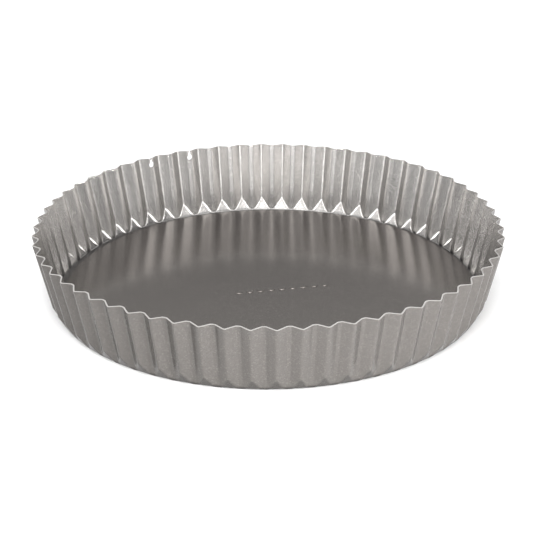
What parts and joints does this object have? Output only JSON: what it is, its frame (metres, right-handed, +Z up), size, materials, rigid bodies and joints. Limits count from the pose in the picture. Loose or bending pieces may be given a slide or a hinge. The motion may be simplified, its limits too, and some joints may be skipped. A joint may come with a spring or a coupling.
{
  "type": "tart pan",
  "caption": "Round fluted tart pan: a pleated, outward-leaning ring with an inward ledge, and a loose flat base that lies on the ledge and lifts out.",
  "frame": {"origin": "centre of the underside of the ring's ledge, on the surface that the pan stands on", "axes": "+Z up out of the pan; +Y towards the point midway between the two hanging holes; +X through an outer flute crest"},
  "size_m": [0.25, 0.2498, 0.0381],
  "materials": {
    "ring_coating": "warm silver non-stick coating on sheet steel, satin with a fine sparkling grain; raw cut edge at the rim",
    "base_coating": "warm grey non-stick coating on flat sheet steel, smoother and glossier than the ring, so that it mirrors the flutes"
  },
  "bodies": {
    "ring": {"fluted_ring": "ring_coating"},
    "base": {"loose_base": "base_coating"}
  },
  "joints": [
    {"name": "base_lift", "type": "slide", "parent": "ring", "child": "base", "axis": [0, 0, 1], "range_m": [0, 0.06]}
  ]
}
